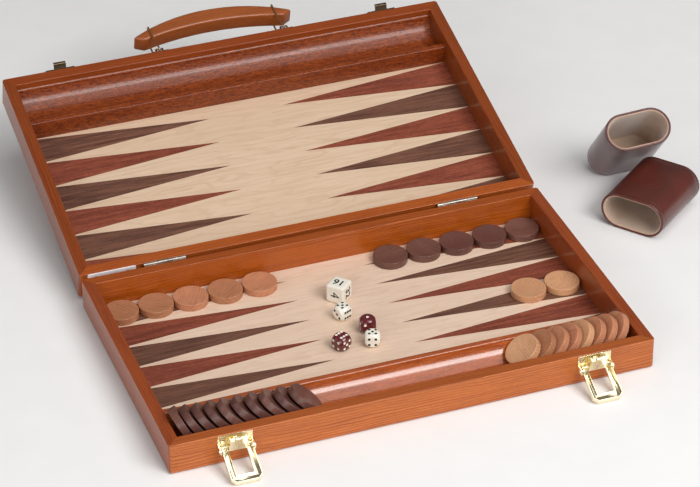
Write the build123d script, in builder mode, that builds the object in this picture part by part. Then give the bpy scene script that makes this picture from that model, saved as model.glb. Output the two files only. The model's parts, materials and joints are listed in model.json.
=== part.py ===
from build123d import *

import os
from math import cos, pi, radians, sin, sqrt

# A folding wooden backgammon case, open on a table, with its checkers, dice and cups.
# Frame: origin at the middle of the near tray's underside, +X along the hinge line,
# +Y from the near tray to the far tray, +Z up. All sizes are in millimetres.

# ---------------------------------------------------------------- case
LENGTH = 460.0            # along the hinge
TRAY_WIDTH = 273.2        # one tray, hinge wall to outer wall
TRAY_HEIGHT = 31.0
RAIL = 11.25              # thickness of all four rails of a tray
PANEL = 3.2               # playing board, let into a rabbet
RABBET = 4.0
CORNER_R = 3.0            # upright corners
BASE_R = 2.6              # bottom edges
RIM_R = 0.6               # eased rim edges
HALF_GAP = 2.6            # hinge axis to each hinge wall
RIM_GAP = 0.3             # between the rims when the case is shut
OPEN_TILT = 13.9          # the far tray stands this many degrees above flat

# ---------------------------------------------------------------- playing field
POINT_PITCH = 33.76
POINT_BASE = 33.4
POINT_LENGTH = 180.2
POINT_COUNT = 6           # on each side of each tray
INLAY = 0.6
NEAR_FIRST_POINT = 2.3    # near tray: hinge rail to the first point

# ---------------------------------------------------------------- storage trough
DIVIDER_FACE = 213.9      # hinge axis to the divider's upright face
TROUGH_DROP = 6.8         # trough top below the rim
COVE_R = 22.6
COVE_CENTRE = 241.6       # hinge axis to the middle of the cove
COVE_RISE = 0.45          # cove centre line below the rim

# ---------------------------------------------------------------- loose pieces
CHECKER_R = 16.7
CHECKER_T = 7.0
CHECKER_EDGE = 0.7
CHECKER_PITCH = 33.9
REST_GAP = 0.1            # loose piece above what it lies on
WHITE_DIE = 14.2
WHITE_BALL_R = 8.9        # each die is a cube turned down to a ball at its corners
RED_DIE = 14.7
RED_BALL_R = 9.2
DIE_EDGE = 0.5
CUBE = 18.4
CUBE_EDGE = 2.0
CUP_WIDTH = 67.1
CUP_DEPTH = 38.3
CUP_LENGTH = 81.0
CUP_WALL = 2.1
CUP_LINING = 1.4
CUP_FLOOR = 3.0

# ---------------------------------------------------------------- hinges
HINGE_X = 147.5
HINGE_LENGTH = 41.0
LEAF_T = 0.9
LEAF_HEIGHT = 13.5
KNUCKLE_R = 1.4
PIN_R = 0.65
PIN_BORE_R = 0.7
KNUCKLE_SPLIT = 7.0
KNUCKLE_PLAY = 0.15

# ---------------------------------------------------------------- latches
LATCH_X = 170.0
PLATE_WIDTH = 32.0
PLATE_HEIGHT = 18.0
PLATE_T = 1.2
PLATE_TOP = 0.7           # below the rim
EAR_T = 1.2
PIVOT_OUT = 6.0           # lever axis from the wall
PIVOT_DROP = 13.5         # lever axis below the rim
LEVER_ANGLE = 25.5        # rest: below horizontal
LEVER_HALF = 14.4
LEVER_LENGTH = 33.0
LEVER_START = -2.4        # the legs reach past the rivets
LEVER_DEEP = 3.2
LEVER_SHALLOW = 1.8
SHEET = 1.0
TAIL_R = 4.4
WINDOW_HALF = 8.2
WINDOW_END = 25.0
CURB = 0.8                # upstand round the window
THROW = 3.0               # claw axis from the lever axis
THROW_ANGLE = 130.0       # rest: above outward
CLAW_HALF = 7.9
CLAW_UP = 14.0
CLAW_LEAN = 25.0          # rest: its top leans outward
ROLL_R = 1.2
ROLL_HALF = 3.2
CLAW_DOWN = 3.0
CLAW_BACK = 1.5
CLAW_FRONT = 3.2
WEB_BACK = -0.1           # inner edge of the web that holds the catch
TONGUE_HALF = 6.2
TONGUE_RISE = 4.6         # above the far rim

# ---------------------------------------------------------------- handle
GRIP_TOP = 7.3            # below the far rim
GRIP_HEIGHT = 17.0
WIRE_X = 66.0
WIRE_R = 0.9
BAR_OUT = 5.8             # pivot bar from the wall
BAR_DROP = 3.35           # pivot bar below the rim

# ---------------------------------------------------------------- derived places
# Each tray is drawn in its own frame: x along the hinge, y away from the hinge axis,
# z up from the axis, so the rim lies just under z = 0 and both trays share one shape.
AXIS_Y = TRAY_WIDTH / 2 + HALF_GAP
AXIS_Z = TRAY_HEIGHT + RIM_GAP / 2
WALL_IN = HALF_GAP
WALL_OUT = HALF_GAP + TRAY_WIDTH
RIM = -RIM_GAP / 2
BASE = RIM - TRAY_HEIGHT
BOARD = BASE + PANEL
INNER_X = LENGTH / 2 - RAIL
INNER_NEAR = WALL_IN + RAIL
INNER_FAR = WALL_OUT - RAIL
MIDDLE = (WALL_IN + WALL_OUT) / 2
BOARD_Z = AXIS_Z + BOARD
TILT = radians(OPEN_TILT)
NEAR = Plane(origin=(0, AXIS_Y, AXIS_Z), x_dir=(-1, 0, 0), z_dir=(0, 0, 1)).location
FAR = Plane(origin=(0, AXIS_Y, AXIS_Z), x_dir=(1, 0, 0), z_dir=(0, -sin(TILT), cos(TILT))).location

os.makedirs("parts", exist_ok=True)


def save(piece, name, place=None):
    """Puts a finished piece in its place, labels it and writes it."""
    if place is not None:
        piece.part = piece.part.moved(place)
    piece.part.label = name
    export_step(piece.part, f"parts/{name}.step")


# ---------------------------------------------------------------- screws
SCREW_HEAD_R = 2.0
SCREW_R = 0.95
SCREW_LENGTH = 7.5
HEAD_DEPTH = 0.9

with BuildPart() as screw_blank:
    with BuildSketch(Plane.XZ):
        with BuildLine():
            Polyline(
                (0, 0), (SCREW_HEAD_R, 0), (SCREW_R, -HEAD_DEPTH),
                (SCREW_R, 1 - SCREW_LENGTH), (0, -SCREW_LENGTH), close=True,
            )
        make_face()
    revolve(axis=Axis.Z)

with BuildPart() as screw:
    add(screw_blank.part)
    with Locations((0, 0, 0)):
        Box(2 * SCREW_HEAD_R - 0.8, 0.6, 0.7, mode=Mode.SUBTRACT)


def on_inner_wall(x, z, proud):
    """A screw driven outward from the hinge side; its head lies proud of the hinge wall."""
    return Plane(origin=(x, WALL_IN - proud, z), x_dir=(1, 0, 0), z_dir=(0, -1, 0)).location


def on_outer_wall(x, z, proud):
    """A screw driven into the outer wall."""
    return Plane(origin=(x, WALL_OUT + proud, z), x_dir=(-1, 0, 0), z_dir=(0, 1, 0)).location


SIDES = (-1, 1)
LEAF_SCREWS = (-14.0, 0.0, 14.0)
LEAF_SCREW_Z = -9.0
PLATE_SCREWS = ((0.0, -4.2), (-11.2, -7.0), (11.2, -7.0))
CATCH_SCREWS = (-11.5, 11.5)
CATCH_SCREW_Z = -8.0
BRACKET_SCREWS = (-7.2, 7.2)
BRACKET_SCREW_Z = -5.6
SEAM_PLATE_X = (-222.0, -175.0)
SEAM_PLATE_T = 0.8
SEAM_PLATE_Z = (-12.0, -0.6)
SEAM_SCREWS = (-214.0, -183.0)

hinge_screws = [
    on_inner_wall(side * HINGE_X + dx, LEAF_SCREW_Z, LEAF_T) for side in SIDES for dx in LEAF_SCREWS
]
plate_screws = [
    on_outer_wall(side * LATCH_X + dx, z, PLATE_T) for side in SIDES for dx, z in PLATE_SCREWS
]
catch_screws = [
    on_outer_wall(side * LATCH_X + dx, CATCH_SCREW_Z, PLATE_T) for side in SIDES for dx in CATCH_SCREWS
]
bracket_screws = [
    on_outer_wall(side * WIRE_X + dx, BRACKET_SCREW_Z, PLATE_T) for side in SIDES for dx in BRACKET_SCREWS
]
seam_screws = [on_inner_wall(x, sum(SEAM_PLATE_Z) / 2, SEAM_PLATE_T) for x in SEAM_SCREWS]
near_screw_places = hinge_screws + plate_screws
far_screw_places = hinge_screws + catch_screws + bracket_screws + seam_screws

for screw_name, screw_places, tray in (
    ("near_screws", near_screw_places, NEAR),
    ("far_screws", far_screw_places, FAR),
):
    with BuildPart() as screws:
        with Locations(*screw_places):
            add(screw.part)
    save(screws, screw_name, tray)


# ---------------------------------------------------------------- tray rails
def tray_frame(screw_places):
    """The four rails of a tray as one ring, before the mitres are cut."""
    with BuildPart() as ring:
        with BuildSketch(Plane.XY.offset(BASE)):
            with Locations((0, MIDDLE)):
                Rectangle(LENGTH, TRAY_WIDTH)
        extrude(amount=TRAY_HEIGHT)
        fillet(ring.edges().filter_by(Axis.Z), CORNER_R)
        fillet(ring.faces().sort_by(Axis.Z)[0].edges(), BASE_R)
        with BuildSketch(Plane.XY.offset(BASE)):
            with Locations((0, MIDDLE)):
                Rectangle(2 * INNER_X, TRAY_WIDTH - 2 * RAIL)
        extrude(amount=TRAY_HEIGHT, mode=Mode.SUBTRACT)
        fillet(ring.faces().sort_by(Axis.Z)[-1].edges(), RIM_R)
        with BuildSketch(Plane.XY.offset(BASE)):
            with Locations((0, MIDDLE)):
                Rectangle(2 * (INNER_X + RABBET), TRAY_WIDTH - 2 * (RAIL - RABBET))
        extrude(amount=PANEL, mode=Mode.SUBTRACT)
        with Locations(*screw_places):
            add(screw_blank.part, mode=Mode.SUBTRACT)
    return ring.part


def rail(ring, side_a, side_b, name, tray):
    """One mitred rail: the ring's share between two corners of the tray."""
    with BuildPart() as piece:
        add(ring)
        with BuildSketch(Plane.XY.offset(BASE - CUT_PAST)):
            with BuildLine():
                Polyline(side_a[0], side_b[0], side_b[1], side_a[1], close=True)
            make_face()
        extrude(amount=TRAY_HEIGHT + 2 * CUT_PAST, mode=Mode.INTERSECT)
    save(piece, name, tray)


def mitre(side, outer, inner):
    """The mitre line at one corner: its inner end, and a point past the outer corner."""
    reach = 1 + CUT_PAST / RAIL
    start = (side * INNER_X, inner)
    past = (side * (INNER_X + reach * RAIL), inner + reach * (outer - inner))
    return past, start


CUT_PAST = 5.0
OUTER_MINUS = mitre(-1, WALL_OUT, INNER_FAR)
OUTER_PLUS = mitre(1, WALL_OUT, INNER_FAR)
HINGE_MINUS = mitre(-1, WALL_IN, INNER_NEAR)
HINGE_PLUS = mitre(1, WALL_IN, INNER_NEAR)

near_ring = tray_frame(near_screw_places)
rail(near_ring, OUTER_MINUS, OUTER_PLUS, "near_front_rail", NEAR)
rail(near_ring, HINGE_MINUS, HINGE_PLUS, "near_hinge_rail", NEAR)
rail(near_ring, OUTER_PLUS, HINGE_PLUS, "near_left_rail", NEAR)
rail(near_ring, OUTER_MINUS, HINGE_MINUS, "near_right_rail", NEAR)

far_ring = tray_frame(far_screw_places)
rail(far_ring, OUTER_MINUS, OUTER_PLUS, "far_outer_rail", FAR)
rail(far_ring, HINGE_MINUS, HINGE_PLUS, "far_hinge_rail", FAR)
rail(far_ring, OUTER_MINUS, HINGE_MINUS, "far_left_rail", FAR)
rail(far_ring, OUTER_PLUS, HINGE_PLUS, "far_right_rail", FAR)


# ---------------------------------------------------------------- boards and inlaid points
def point_centres(start, step):
    """Middles of the six points along one side."""
    return [start + step * (k + 0.5) * POINT_PITCH for k in range(POINT_COUNT)]


def points(centres, left, wanted):
    """Inlaid triangles of one colour: the colours alternate, and the two sides are out of step."""
    with BuildPart() as inlays:
        with BuildSketch(Plane.XY.offset(BOARD - INLAY)):
            for k, y in enumerate(centres):
                for side in SIDES:
                    if (k % 2 == 0) == ((side == left) == wanted):
                        with BuildLine():
                            Polyline(
                                (side * INNER_X, y - POINT_BASE / 2),
                                (side * INNER_X, y + POINT_BASE / 2),
                                (side * (INNER_X - POINT_LENGTH), y),
                                close=True,
                            )
                        make_face()
        extrude(amount=INLAY)
    return inlays


def board(inlays):
    """The playing board with a shallow pocket for each inlaid point."""
    with BuildPart() as panel:
        with BuildSketch(Plane.XY.offset(BASE)):
            with Locations((0, MIDDLE)):
                Rectangle(2 * (INNER_X + RABBET), TRAY_WIDTH - 2 * (RAIL - RABBET))
        extrude(amount=PANEL)
        for inlay in inlays:
            add(inlay.part, mode=Mode.SUBTRACT)
    return panel


near_centres = point_centres(INNER_NEAR + NEAR_FIRST_POINT, 1)
far_centres = point_centres(DIVIDER_FACE, -1)
for tray_name, tray, centres, left in (
    ("near", NEAR, near_centres, 1),
    ("far", FAR, far_centres, -1),
):
    dark_points = points(centres, left, True)
    red_points = points(centres, left, False)
    save(board((dark_points, red_points)), f"{tray_name}_board", tray)
    save(dark_points, f"{tray_name}_dark_points", tray)
    save(red_points, f"{tray_name}_red_points", tray)


# ---------------------------------------------------------------- storage troughs
for tray_name, tray in (("near", NEAR), ("far", FAR)):
    with BuildPart() as trough:
        with BuildSketch(Plane.YZ):
            with Locations(((DIVIDER_FACE + INNER_FAR) / 2, (BOARD + RIM - TROUGH_DROP) / 2)):
                Rectangle(INNER_FAR - DIVIDER_FACE, RIM - TROUGH_DROP - BOARD)
            with Locations((COVE_CENTRE, RIM - COVE_RISE)):
                Circle(COVE_R, mode=Mode.SUBTRACT)
        extrude(amount=INNER_X, both=True)
        fillet(trough.edges().filter_by(Axis.X).group_by(Axis.Z)[-1], 0.4)
    save(trough, f"{tray_name}_trough", tray)


# ---------------------------------------------------------------- seam hinges
def leaf(spans):
    """One hinge leaf on the hinge wall with its knuckles on the given spans of x."""
    with BuildPart() as piece:
        with BuildSketch(Plane.XY.offset(RIM - 0.4)):
            with Locations((0, WALL_IN - LEAF_T / 2)):
                Rectangle(HINGE_LENGTH, LEAF_T)
        extrude(amount=-LEAF_HEIGHT)
        for low, high in spans:
            with BuildSketch(Plane.YZ.offset(low)):
                Circle(KNUCKLE_R)
                with Locations((WALL_IN / 2, -KNUCKLE_R / 2)):
                    Rectangle(WALL_IN, KNUCKLE_R)
            extrude(amount=high - low)
        with BuildSketch(Plane.YZ.offset(-HINGE_LENGTH / 2)):
            Circle(PIN_BORE_R)
        extrude(amount=HINGE_LENGTH, mode=Mode.SUBTRACT)
        with Locations(*[on_inner_wall(x, LEAF_SCREW_Z, LEAF_T) for x in LEAF_SCREWS]):
            add(screw_blank.part, mode=Mode.SUBTRACT)
    return piece


END = HINGE_LENGTH / 2
OUTER_SPANS = ((-END, -KNUCKLE_SPLIT - KNUCKLE_PLAY), (KNUCKLE_SPLIT + KNUCKLE_PLAY, END))
INNER_SPAN = ((-KNUCKLE_SPLIT + KNUCKLE_PLAY, KNUCKLE_SPLIT - KNUCKLE_PLAY),)
for side, side_name in ((-1, "left"), (1, "right")):
    save(leaf(OUTER_SPANS), f"{side_name}_hinge_near_leaf", NEAR * Location((-side * HINGE_X, 0, 0)))
    save(leaf(INNER_SPAN), f"{side_name}_hinge_far_leaf", FAR * Location((side * HINGE_X, 0, 0)))

with BuildPart() as hinge_pins:
    for side in SIDES:
        with BuildSketch(Plane.YZ.offset(side * HINGE_X - END)):
            Circle(PIN_R)
        extrude(amount=HINGE_LENGTH)
save(hinge_pins, "hinge_pins", NEAR)

with BuildPart() as seam_plate:
    with BuildSketch(Plane.XZ.offset(-WALL_IN)):
        with Locations((sum(SEAM_PLATE_X) / 2, sum(SEAM_PLATE_Z) / 2)):
            RectangleRounded(
                SEAM_PLATE_X[1] - SEAM_PLATE_X[0], SEAM_PLATE_Z[1] - SEAM_PLATE_Z[0], 1.5
            )
    extrude(amount=SEAM_PLATE_T)
    with Locations(*seam_screws):
        add(screw_blank.part, mode=Mode.SUBTRACT)
save(seam_plate, "far_seam_plate", FAR)


# ---------------------------------------------------------------- latches on the near tray
PIVOT_Y = WALL_OUT + PIVOT_OUT
PIVOT_Z = RIM - PIVOT_DROP
PLATE_MID = RIM - PLATE_TOP - PLATE_HEIGHT / 2
RIVET_R = 1.0
RIVET_BORE_R = 1.05
TRUNNION_R = 0.75
TRUNNION_BORE_R = 0.8
EAR_IN = PLATE_WIDTH / 2 - EAR_T
EAR_R = 3.4

with BuildPart() as latch_plate:
    with BuildSketch(Plane.XZ.offset(-WALL_OUT)) as plate_plan:
        with Locations((0, PLATE_MID)):
            Rectangle(PLATE_WIDTH, PLATE_HEIGHT)
        chamfer(plate_plan.vertices().group_by(Axis.Y)[0], 2.4)
    extrude(amount=-PLATE_T)
    for side in SIDES:
        with BuildSketch(Plane.YZ.offset(side * (EAR_IN + EAR_T / 2))):
            with Locations((WALL_OUT + PIVOT_OUT / 2, PIVOT_Z)):
                Rectangle(PIVOT_OUT, 2 * EAR_R)
            with Locations((PIVOT_Y, PIVOT_Z)):
                Circle(EAR_R)
                Circle(RIVET_BORE_R, mode=Mode.SUBTRACT)
        extrude(amount=EAR_T / 2, both=True)
    with Locations(*[on_outer_wall(x, z, PLATE_T) for x, z in PLATE_SCREWS]):
        add(screw_blank.part, mode=Mode.SUBTRACT)

with BuildPart() as latch_rivets:
    for latch in SIDES:
        for side in SIDES:
            inner = LEVER_HALF - SHEET - 0.6
            with BuildSketch(Plane.YZ.offset(latch * LATCH_X + side * inner)):
                with Locations((PIVOT_Y, PIVOT_Z)):
                    Circle(RIVET_R)
            extrude(amount=side * (PLATE_WIDTH / 2 + 0.2 - inner))
            with BuildSketch(Plane.YZ.offset(latch * LATCH_X + side * (PLATE_WIDTH / 2))):
                with Locations((PIVOT_Y, PIVOT_Z)):
                    Circle(2 * RIVET_R)
            extrude(amount=side * 0.7)
save(latch_rivets, "latch_rivets", NEAR)

# The lever is drawn flat: x across, y along it from the rivets, z towards the open side.
lever_angle = radians(LEVER_ANGLE)
throw_angle = radians(THROW_ANGLE)
THROW_Y = THROW * cos(throw_angle + lever_angle)
THROW_Z = THROW * sin(throw_angle + lever_angle)
LEVER_CHAMFER = 4.0


def lever_plan(inset, start):
    """Corners of the lever's plan with its clipped free end, drawn in by inset."""
    half = LEVER_HALF - inset
    end = LEVER_LENGTH - inset
    clip = LEVER_CHAMFER - 0.6 * inset
    return (
        (-half, start), (-half, end - clip), (-half + clip, end),
        (half - clip, end), (half, end - clip), (half, start),
    )


with BuildPart() as latch_lever:
    with BuildSketch(Plane.XY.offset(-LEVER_DEEP)):
        with BuildLine():
            Polyline(*lever_plan(0, LEVER_START), close=True)
        make_face()
    extrude(amount=LEVER_DEEP + LEVER_SHALLOW)
    with BuildSketch(Plane.XY.offset(SHEET - LEVER_DEEP)):
        with BuildLine():
            Polyline(*lever_plan(SHEET, LEVER_START - SHEET), close=True)
        make_face()
    extrude(amount=LEVER_DEEP + LEVER_SHALLOW, mode=Mode.SUBTRACT)
    with BuildSketch(Plane.XY.offset(-LEVER_DEEP)):
        with Locations((0, (LEVER_START + WINDOW_END + CURB) / 2)):
            Rectangle(2 * (WINDOW_HALF + CURB), WINDOW_END + CURB - LEVER_START)
    extrude(amount=LEVER_DEEP - 0.2)
    with BuildSketch(Plane.XY.offset(-LEVER_DEEP)):
        with Locations((0, (LEVER_START - SHEET + WINDOW_END) / 2)):
            Rectangle(2 * WINDOW_HALF, WINDOW_END + SHEET - LEVER_START)
    extrude(amount=LEVER_DEEP + LEVER_SHALLOW, mode=Mode.SUBTRACT)
    for side in SIDES:
        with BuildSketch(Plane.YZ.offset(side * (LEVER_HALF - SHEET / 2))):
            Circle(TAIL_R)
        extrude(amount=SHEET / 2, both=True)
    with BuildSketch(Plane.YZ.offset(-LEVER_HALF)):
        Circle(RIVET_BORE_R)
        with Locations((THROW_Y, THROW_Z)):
            Circle(TRUNNION_BORE_R)
    extrude(amount=2 * LEVER_HALF, mode=Mode.SUBTRACT)

# The claw leans outward while open and comes upright as the lever carries its trunnions round.
with BuildPart() as latch_claw:
    with BuildSketch(Plane.YZ.offset(-CLAW_HALF)):
        with BuildLine():
            Polyline(
                (-CLAW_BACK, -CLAW_DOWN + 1.6), (1.4, -CLAW_DOWN), (CLAW_FRONT - 0.8, -CLAW_DOWN),
                (CLAW_FRONT, -CLAW_DOWN + 0.8), (CLAW_FRONT, CLAW_UP), (-CLAW_BACK, CLAW_UP), close=True,
            )
        make_face()
    extrude(amount=2 * CLAW_HALF)
    with BuildSketch(Plane.YZ.offset(SHEET - CLAW_HALF)):
        with BuildLine():
            Polyline(
                (-CLAW_BACK - SHEET, SHEET - CLAW_DOWN), (CLAW_FRONT - SHEET, SHEET - CLAW_DOWN),
                (CLAW_FRONT - SHEET, CLAW_UP - SHEET), (WEB_BACK, CLAW_UP - SHEET),
                (WEB_BACK, CLAW_UP + SHEET),
                (-CLAW_BACK - SHEET, CLAW_UP + SHEET), close=True,
            )
        make_face()
    extrude(amount=2 * (CLAW_HALF - SHEET), mode=Mode.SUBTRACT)
    with BuildSketch(Plane.YZ.offset(-ROLL_HALF)):
        with Locations((CLAW_FRONT - ROLL_R, CLAW_UP + ROLL_R - 0.5)):
            Circle(ROLL_R)
            Circle(ROLL_R / 2, mode=Mode.SUBTRACT)
    extrude(amount=2 * ROLL_HALF)
    for side in SIDES:
        with BuildSketch(Plane.YZ.offset(side * (CLAW_HALF - SHEET))):
            Circle(TRUNNION_R)
        extrude(amount=side * (LEVER_HALF - CLAW_HALF + SHEET - 0.2))

claw_out = PIVOT_OUT + THROW * cos(throw_angle)
claw_up = PIVOT_Z + THROW * sin(throw_angle)
for side, side_name in ((-1, "left"), (1, "right")):
    latch_place = NEAR * Location((-side * LATCH_X, 0, 0))
    with BuildPart() as plate_copy:
        add(latch_plate.part)
    save(plate_copy, f"{side_name}_latch_plate", latch_place)
    with BuildPart() as lever_copy:
        add(latch_lever.part)
    save(lever_copy, f"{side_name}_latch_lever",
         latch_place * Location((0, PIVOT_Y, PIVOT_Z), (-LEVER_ANGLE, 0, 0)))
    with BuildPart() as claw_copy:
        add(latch_claw.part)
    save(claw_copy, f"{side_name}_latch_claw",
         latch_place * Location((0, WALL_OUT + claw_out, claw_up), (-CLAW_LEAN, 0, 0)))


# ---------------------------------------------------------------- catches on the far tray
CATCH_WIDTH = 31.0
CATCH_TOP = 0.2
CATCH_HEIGHT = 13.0
TONGUE_T = 1.0
LIP_OUT = 5.5

with BuildPart() as catch:
    with BuildSketch(Plane.XZ.offset(-WALL_OUT)):
        with Locations((0, RIM - CATCH_TOP - CATCH_HEIGHT / 2)):
            RectangleRounded(CATCH_WIDTH, CATCH_HEIGHT, 2.0)
    extrude(amount=-PLATE_T)
    with BuildSketch(Plane.YZ.offset(-TONGUE_HALF)):
        with BuildLine():
            Polyline(
                (WALL_OUT, RIM - 1.6), (WALL_OUT + 1.3, RIM), (WALL_OUT + 2.6, TONGUE_RISE - TONGUE_T),
                (WALL_OUT + 3.4, TONGUE_RISE - 0.2), (WALL_OUT + LIP_OUT, TONGUE_RISE),
                (WALL_OUT + LIP_OUT, TONGUE_RISE - TONGUE_T), (WALL_OUT + 3.9, TONGUE_RISE - 1.2),
                (WALL_OUT + 3.5, TONGUE_RISE - 1.6), (WALL_OUT + 2.4, RIM - 0.3),
                (WALL_OUT + 1.8, RIM - 2.2), (WALL_OUT, RIM - 4.0), close=True,
            )
        make_face()
    extrude(amount=2 * TONGUE_HALF)
    with Locations(*[on_outer_wall(x, CATCH_SCREW_Z, PLATE_T) for x in CATCH_SCREWS]):
        add(screw_blank.part, mode=Mode.SUBTRACT)

for side, side_name in ((-1, "left"), (1, "right")):
    with BuildPart() as catch_copy:
        add(catch.part)
    save(catch_copy, f"{side_name}_catch", FAR * Location((side * LATCH_X, 0, 0)))


# ---------------------------------------------------------------- handle on the far tray
GRIP_IN_END = 26.7        # inner curve from the wall, at its ends
GRIP_IN_MID = 36.6
GRIP_OUT_END = 32.8
GRIP_OUT_MID = 55.3
GRIP_IN_HALF = 74.0
GRIP_HALF = 84.5

with BuildPart() as grip:
    with BuildSketch(Plane.XY.offset(RIM - GRIP_TOP - GRIP_HEIGHT)):
        with BuildLine():
            ThreePointArc(
                (-GRIP_IN_HALF, WALL_OUT + GRIP_IN_END), (0, WALL_OUT + GRIP_IN_MID),
                (GRIP_IN_HALF, WALL_OUT + GRIP_IN_END),
            )
            Line((GRIP_IN_HALF, WALL_OUT + GRIP_IN_END), (GRIP_HALF, WALL_OUT + GRIP_OUT_END))
            ThreePointArc(
                (GRIP_HALF, WALL_OUT + GRIP_OUT_END), (0, WALL_OUT + GRIP_OUT_MID),
                (-GRIP_HALF, WALL_OUT + GRIP_OUT_END),
            )
            Line((-GRIP_HALF, WALL_OUT + GRIP_OUT_END), (-GRIP_IN_HALF, WALL_OUT + GRIP_IN_END))
        make_face()
    extrude(amount=GRIP_HEIGHT)
    fillet(grip.edges().filter_by(Axis.Z), 2.4)
    fillet(grip.faces().sort_by(Axis.Z)[-1].edges(), 1.8)
    fillet(grip.faces().sort_by(Axis.Z)[0].edges(), 1.8)
save(grip, "handle_grip", FAR)

BAR_Y = WALL_OUT + BAR_OUT
BAR_Z = RIM - BAR_DROP
WIRE_TOP = RIM - GRIP_TOP + WIRE_R + 0.1
WIRE_LOW = RIM - GRIP_TOP - GRIP_HEIGHT - WIRE_R - 0.1
WIRE_SHOULDER = WALL_OUT + 24.2
WIRE_END = WALL_OUT + 43.4
EYE_BACK = BAR_Y - 2.2

with BuildPart() as handle_wires:
    for side in SIDES:
        with BuildLine(Plane.YZ.offset(side * WIRE_X)) as wire_path:
            FilletPolyline(
                (EYE_BACK, BAR_Z + 2.8), (WIRE_SHOULDER, WIRE_TOP), (WIRE_END, WIRE_TOP),
                (WIRE_END, WIRE_LOW), (WIRE_SHOULDER, WIRE_LOW), (EYE_BACK, BAR_Z - 2.7),
                radius=1.9, close=True,
            )
        with BuildSketch(Plane(wire_path.line @ 0, z_dir=wire_path.line % 0)):
            Circle(WIRE_R)
        sweep(path=wire_path.line)
save(handle_wires, "handle_wires", FAR)

BRACKET_WIDTH = 19.0
BRACKET_HEIGHT = 9.0
STAPLE_HALF = 3.4

with BuildPart() as handle_brackets:
    for side in SIDES:
        with BuildSketch(Plane.XZ.offset(-WALL_OUT)):
            with Locations((side * WIRE_X, RIM - 1.0 - BRACKET_HEIGHT / 2)):
                RectangleRounded(BRACKET_WIDTH, BRACKET_HEIGHT, 2.0)
        extrude(amount=-PLATE_T)
        with BuildSketch(Plane.YZ.offset(side * WIRE_X - STAPLE_HALF)):
            with Locations((BAR_Y, BAR_Z)):
                Circle(WIRE_R)
        extrude(amount=2 * STAPLE_HALF)
        with BuildSketch(Plane.XZ.offset(-WALL_OUT)):
            with Locations(*[(side * WIRE_X + leg * STAPLE_HALF, BAR_Z) for leg in SIDES]):
                Circle(WIRE_R)
        extrude(amount=-BAR_OUT)
    with Locations(*bracket_screws):
        add(screw_blank.part, mode=Mode.SUBTRACT)
save(handle_brackets, "handle_brackets", FAR)


# ---------------------------------------------------------------- checkers on the board
def checker_at(place):
    """A plain round checker whose middle is at the given place."""
    with BuildPart() as checker:
        Cylinder(CHECKER_R, CHECKER_T)
        fillet(checker.edges().filter_by(GeomType.CIRCLE), CHECKER_EDGE)
    checker.part = checker.part.moved(place)
    return checker


FLAT_Z = BOARD_Z + REST_GAP + CHECKER_T / 2
ROW_Y = AXIS_Y - near_centres[0] - 0.8
PAIR_Y = AXIS_Y - near_centres[3] + 2.9
FIRST_X = INNER_X - CHECKER_R - 0.6
row_xs = [FIRST_X - k * CHECKER_PITCH for k in range(5)]

light_places = [(-x, ROW_Y) for x in row_xs] + [(x, PAIR_Y) for x in row_xs[:2]]
dark_places = [(x, ROW_Y) for x in row_xs]
for colour, places in (("light", light_places), ("dark", dark_places)):
    for number, (x, y) in enumerate(places, 1):
        save(checker_at(Location((x, y, FLAT_Z))), f"{colour}_checker_{number}")


# ---------------------------------------------------------------- checkers stored in the near trough
STORE_GAP = 2.0           # air between neighbours, across their faces
STORE_CLEAR = 0.3
STORE_SHIFT = 1.6         # the discs lean a little towards the divider
STORE_Y = AXIS_Y - COVE_CENTRE + STORE_SHIFT
COVE_Z = AXIS_Z + RIM - COVE_RISE


def resting_height(lean):
    """Height of a leaning disc's middle when its edge just clears the cove."""
    heights = []
    for step in range(72):
        angle = step * pi / 36
        across = CHECKER_R * cos(angle)
        up = CHECKER_R * sin(lean) * sin(angle) - CHECKER_T / 2 * cos(lean)
        reach = (COVE_R - STORE_CLEAR) ** 2 - (across + STORE_SHIFT) ** 2
        heights.append(COVE_Z - up - sqrt(reach))
    return max(heights)


def stored(name, wall_side, leans):
    """A row of discs leaning against one end of the trough, the first nearly upright."""
    x = wall_side * INNER_X
    with BuildPart() as row:
        for number, degrees in enumerate(leans):
            lean = radians(degrees)
            if number == 0:
                x -= wall_side * (CHECKER_R * cos(lean) + CHECKER_T / 2 * sin(lean) + 0.6)
            else:
                x -= wall_side * (CHECKER_T + STORE_GAP) / sin(lean)
            place = Plane(
                origin=(x, STORE_Y, resting_height(lean)), x_dir=(0, 1, 0),
                z_dir=(-wall_side * sin(lean), 0, cos(lean)),
            )
            add(checker_at(place.location).part)
    save(row, name)


stored("stored_dark_checkers", -1, (62, 56, 51, 48, 46, 44, 43, 42, 41, 40))
stored("stored_light_checkers", 1, (54, 52, 50, 49, 47, 45, 42, 34))


# ---------------------------------------------------------------- dice and doubling cube
def on_board(side, x, y, turn):
    """Where a cube of the given side lies on the near board."""
    return Location((x, y, BOARD_Z + REST_GAP + side / 2), (0, 0, turn))


def die(name, side, ball_r, x, y, turn):
    """A cube whose edges and corners are turned down to a ball."""
    with BuildPart() as cube:
        Box(side, side, side)
        Sphere(ball_r, mode=Mode.INTERSECT)
        fillet(cube.edges().filter_by(GeomType.CIRCLE), DIE_EDGE)
    save(cube, name, on_board(side, x, y, turn))


die("white_die_1", WHITE_DIE, WHITE_BALL_R, -9.8, 31.0, 25)
die("white_die_2", WHITE_DIE, WHITE_BALL_R, 1.5, -18.5, -20)
die("red_die_1", RED_DIE, RED_BALL_R, -27.1, -14.2, 25)
die("red_die_2", RED_DIE, RED_BALL_R, 5.1, 4.2, -10)

with BuildPart() as doubling_cube:
    Box(CUBE, CUBE, CUBE)
    fillet(doubling_cube.edges(), CUBE_EDGE)
save(doubling_cube, "doubling_cube", on_board(CUBE, -2.0, 61.7, 42))


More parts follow.
